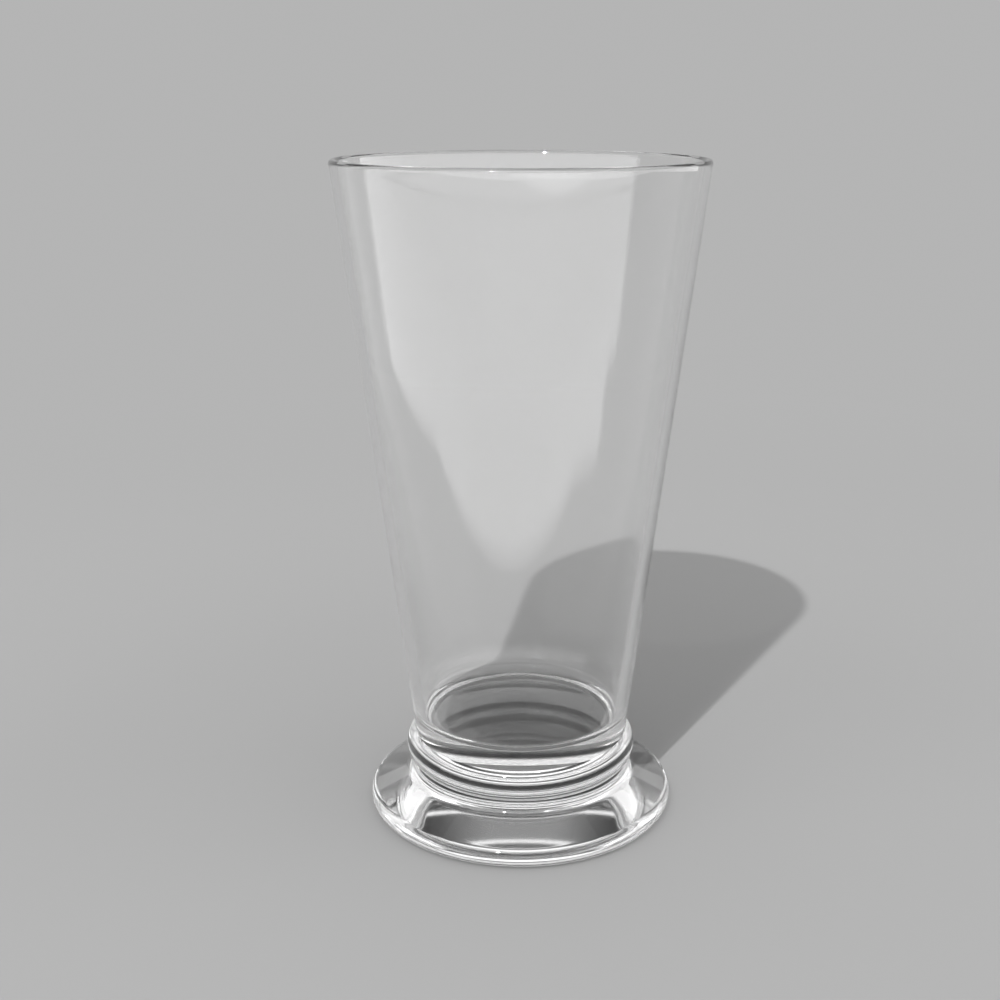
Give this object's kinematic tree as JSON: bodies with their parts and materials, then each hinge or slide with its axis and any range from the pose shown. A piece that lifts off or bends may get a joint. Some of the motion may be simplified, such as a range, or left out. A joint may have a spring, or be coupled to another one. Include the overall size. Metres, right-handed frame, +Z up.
{
  "type": "water glass",
  "caption": "Clear footed drinking glass with a straight tapered bowl, a round bead collar and a solid flared foot, for holding a cold drink.",
  "frame": {"origin": "on the table, at the middle of the foot's underside", "axes": "+Z up along the axis of the glass; the glass is round, so +X and +Y are any two level directions"},
  "size_m": [0.082, 0.082, 0.151],
  "materials": {
    "bowl_glass": "clear, fire-polished",
    "collar_glass": "clear, fire-polished",
    "foot_glass": "clear, pressed and fire-polished"
  },
  "bodies": {
    "root": {"bowl": "bowl_glass", "collar": "collar_glass", "foot": "foot_glass"}
  },
  "joints": []
}
